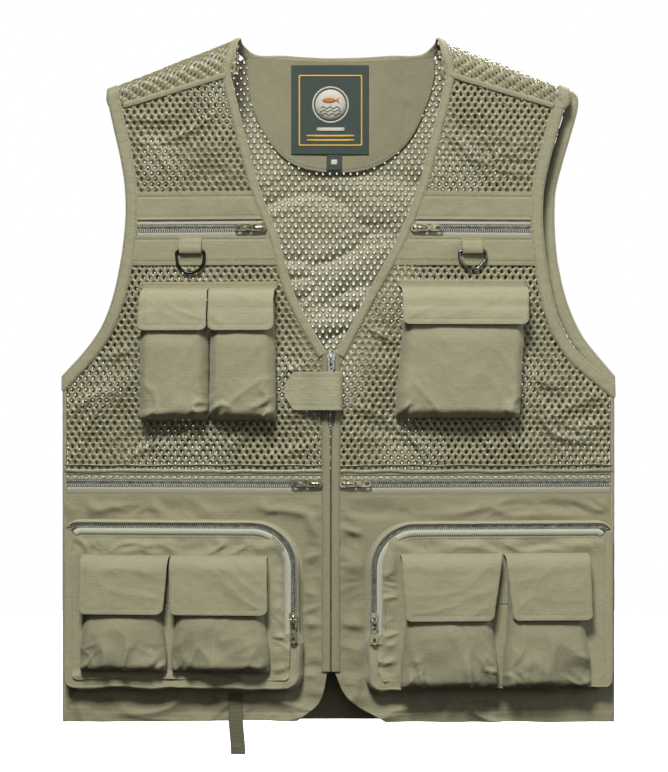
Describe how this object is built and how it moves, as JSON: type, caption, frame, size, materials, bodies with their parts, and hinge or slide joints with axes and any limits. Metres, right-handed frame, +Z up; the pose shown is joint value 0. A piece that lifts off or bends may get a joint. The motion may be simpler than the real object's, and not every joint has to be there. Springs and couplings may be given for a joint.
{
  "type": "fishing vest",
  "caption": "Sleeveless zip-front fishing vest in hole net and woven cloth with zipped, flapped and bellows pockets, D-rings and a storm tab.",
  "frame": {"origin": "on the middle line between front and back, level with the inside of the shoulders at the neck, where the vest rests on the wearer's shoulders or on a hanger", "axes": "+X to the wearer's left, +Y to the back, +Z up"},
  "size_m": [0.5479, 0.0894, 0.715],
  "materials": {
    "shell_cloth": "woven, matt with a slight sheen",
    "flap_cloth": "woven, matt with a slight sheen",
    "lining": "woven, matt",
    "net": "knitted hole net with a sheen",
    "binding": "woven binding, matt",
    "zip_tape": "woven tape with moulded teeth",
    "label": "woven satin",
    "loop_tape": "looped pile",
    "webbing": "ribbed webbing",
    "antique_brass": "antiqued and worn",
    "steel": "nickel plated",
    "gunmetal": "black nickel, glossy"
  },
  "bodies": {
    "root": {"back_mesh_panel": "net", "back_lower_panel": "shell_cloth", "neck_facing": "lining", "neck_label": "label", "size_label": "label", "neck_binding": "binding", "rear_armhole_bindings": "binding", "shoulder_seams": "binding", "shoulder_mesh_right": "net", "shoulder_mesh_left": "net"},
    "front_right": {"mesh_panel_right": "net", "chest_band_right": "shell_cloth", "lower_panel_right": "shell_cloth", "edge_bindings_right": "binding", "main_zip_half_right": "zip_tape", "pocket_zips_right": "zip_tape", "chest_pockets_right": "shell_cloth", "cargo_pocket_right": "shell_cloth", "cargo_small_pockets_right": "shell_cloth", "ring_loop_right": "webbing", "loop_patches_right": "loop_tape", "pocket_bags_right": "lining"},
    "front_left": {"mesh_panel_left": "net", "chest_band_left": "shell_cloth", "lower_panel_left": "shell_cloth", "edge_bindings_left": "binding", "main_zip_half_left": "zip_tape", "pocket_zips_left": "zip_tape", "chest_pockets_left": "shell_cloth", "cargo_pocket_left": "shell_cloth", "cargo_small_pockets_left": "shell_cloth", "ring_loop_left": "webbing", "loop_patches_left": "loop_tape", "pocket_bags_left": "lining"},
    "chest_slider_right": {"chest_slider_right": "antique_brass"},
    "chest_pull_right": {"chest_pull_right": "antique_brass"},
    "waist_slider_right": {"waist_slider_right": "antique_brass"},
    "waist_pull_right": {"waist_pull_right": "antique_brass"},
    "cargo_slider_right": {"cargo_slider_right": "antique_brass"},
    "cargo_pull_right": {"cargo_pull_right": "antique_brass"},
    "chest_slider_left": {"chest_slider_left": "antique_brass"},
    "chest_pull_left": {"chest_pull_left": "antique_brass"},
    "waist_slider_left": {"waist_slider_left": "antique_brass"},
    "waist_pull_left": {"waist_pull_left": "antique_brass"},
    "cargo_slider_left": {"cargo_slider_left": "antique_brass"},
    "cargo_pull_left": {"cargo_pull_left": "antique_brass"},
    "main_slider": {"main_slider": "steel"},
    "main_pull": {"main_pull": "steel"},
    "storm_tab": {"storm_tab": "flap_cloth"},
    "chest_flap_right_outer": {"chest_flap_right_outer": "flap_cloth"},
    "chest_flap_right_inner": {"chest_flap_right_inner": "flap_cloth"},
    "cargo_flap_right_outer": {"cargo_flap_right_outer": "flap_cloth"},
    "cargo_flap_right_inner": {"cargo_flap_right_inner": "flap_cloth"},
    "d_ring_right": {"d_ring_right": "gunmetal"},
    "chest_flap_left": {"chest_flap_left": "flap_cloth"},
    "cargo_flap_left_outer": {"cargo_flap_left_outer": "flap_cloth"},
    "cargo_flap_left_inner": {"cargo_flap_left_inner": "flap_cloth"},
    "d_ring_left": {"d_ring_left": "gunmetal"},
    "webbing_tail": {"webbing_tail": "webbing"}
  },
  "joints": [
    {"name": "front_right_swing", "type": "hinge", "parent": "root", "child": "front_right", "pos_m": [-0.277, 0, -0.4], "axis": [0, 0, -1], "range_deg": [0, 40]},
    {"name": "front_left_swing", "type": "hinge", "parent": "root", "child": "front_left", "pos_m": [0.277, 0, -0.4], "axis": [0, 0, 1], "range_deg": [0, 40]},
    {"name": "chest_zip_right_slide", "type": "slide", "parent": "front_right", "child": "chest_slider_right", "axis": [-0.9921, 0.1252, 0], "range_m": [0, 0.11]},
    {"name": "chest_pull_right_swing", "type": "hinge", "parent": "chest_slider_right", "child": "chest_pull_right", "pos_m": [-0.07931, -0.03089, -0.187], "axis": [0, 0, 1], "range_deg": [0, 120]},
    {"name": "waist_zip_right_slide", "type": "slide", "parent": "front_right", "child": "waist_slider_right", "axis": [-0.9921, 0.1252, 0], "range_m": [0, 0.236]},
    {"name": "waist_pull_right_swing", "type": "hinge", "parent": "waist_slider_right", "child": "waist_pull_right", "pos_m": [-0.02362, -0.03791, -0.4405], "axis": [0, 0, 1], "range_deg": [0, 120]},
    {"name": "cargo_zip_right_slide", "type": "slide", "parent": "front_right", "child": "cargo_slider_right", "axis": [0, 0, 1], "range_m": [0, 0.044]},
    {"name": "cargo_pull_right_swing", "type": "hinge", "parent": "cargo_slider_right", "child": "cargo_pull_right", "pos_m": [-0.04447, -0.05353, -0.574], "axis": [-0.9921, 0.1252, 0], "range_deg": [0, 120]},
    {"name": "chest_zip_left_slide", "type": "slide", "parent": "front_left", "child": "chest_slider_left", "axis": [0.9929, 0.1187, 0], "range_m": [0, 0.102]},
    {"name": "chest_pull_left_swing", "type": "hinge", "parent": "chest_slider_left", "child": "chest_pull_left", "pos_m": [0.07911, -0.02959, -0.187], "axis": [0, 0, -1], "range_deg": [0, 120]},
    {"name": "waist_zip_left_slide", "type": "slide", "parent": "front_left", "child": "waist_slider_left", "axis": [0.9929, 0.1187, 0], "range_m": [0, 0.251]},
    {"name": "waist_pull_left_swing", "type": "hinge", "parent": "waist_slider_left", "child": "waist_pull_left", "pos_m": [0.00859, -0.03802, -0.4405], "axis": [0, 0, -1], "range_deg": [0, 120]},
    {"name": "cargo_zip_left_slide", "type": "slide", "parent": "front_left", "child": "cargo_slider_left", "axis": [0, 0, 1], "range_m": [0, 0.044]},
    {"name": "cargo_pull_left_swing", "type": "hinge", "parent": "cargo_slider_left", "child": "cargo_pull_left", "pos_m": [0.03529, -0.05306, -0.575], "axis": [-0.9929, -0.1187, 0], "range_deg": [0, 120]},
    {"name": "main_zip_slide", "type": "slide", "parent": "front_left", "child": "main_slider", "axis": [0, 0, 1], "range_m": [-0.29, 0]},
    {"name": "main_pull_swing", "type": "hinge", "parent": "main_slider", "child": "main_pull", "pos_m": [-0.0075, -0.0403, -0.3185], "axis": [-1, 0, 0], "range_deg": [0, 10]},
    {"name": "storm_tab_swing", "type": "hinge", "parent": "front_left", "child": "storm_tab", "pos_m": [0.003, -0.0372, -0.349], "axis": [0, 0, 1], "range_deg": [0, 75]},
    {"name": "chest_flap_right_outer_lift", "type": "hinge", "parent": "front_right", "child": "chest_flap_right_outer", "pos_m": [-0.16235, -0.01799, -0.248], "axis": [-0.9921, 0.1252, 0], "range_deg": [0, 85]},
    {"name": "chest_flap_right_inner_lift", "type": "hinge", "parent": "front_right", "child": "chest_flap_right_inner", "pos_m": [-0.09414, -0.0266, -0.248], "axis": [-0.9921, 0.1252, 0], "range_deg": [0, 85]},
    {"name": "cargo_flap_right_outer_lift", "type": "hinge", "parent": "front_right", "child": "cargo_flap_right_outer", "pos_m": [-0.21273, -0.02988, -0.513], "axis": [-0.9921, 0.1252, 0], "range_deg": [0, 100]},
    {"name": "cargo_flap_right_inner_lift", "type": "hinge", "parent": "front_right", "child": "cargo_flap_right_inner", "pos_m": [-0.1162, -0.04206, -0.513], "axis": [-0.9921, 0.1252, 0], "range_deg": [0, 100]},
    {"name": "d_ring_right_swing", "type": "hinge", "parent": "front_right", "child": "d_ring_right", "pos_m": [-0.14715, -0.02172, -0.2096], "axis": [-0.9921, 0.1252, 0], "range_deg": [0, 100]},
    {"name": "chest_flap_left_lift", "type": "hinge", "parent": "front_left", "child": "chest_flap_left", "pos_m": [0.12301, -0.02193, -0.246], "axis": [-0.9929, -0.1187, 0], "range_deg": [0, 85]},
    {"name": "cargo_flap_left_outer_lift", "type": "hinge", "parent": "front_left", "child": "cargo_flap_left_outer", "pos_m": [0.20509, -0.03035, -0.511], "axis": [-0.9929, -0.1187, 0], "range_deg": [0, 100]},
    {"name": "cargo_flap_left_inner_lift", "type": "hinge", "parent": "front_left", "child": "cargo_flap_left_inner", "pos_m": [0.10853, -0.04189, -0.511], "axis": [-0.9929, -0.1187, 0], "range_deg": [0, 100]},
    {"name": "d_ring_left_swing", "type": "hinge", "parent": "front_left", "child": "d_ring_left", "pos_m": [0.13316, -0.02253, -0.2096], "axis": [-0.9929, -0.1187, 0], "range_deg": [0, 100]},
    {"name": "webbing_tail_swing", "type": "hinge", "parent": "front_right", "child": "webbing_tail", "pos_m": [-0.10191, -0.02627, -0.649], "axis": [-0.9921, 0.1252, 0], "range_deg": [0, 80]}
  ],
  "couplings": [
    {"joint": "front_left_swing", "follows": "front_right_swing", "ratio": 1}
  ]
}
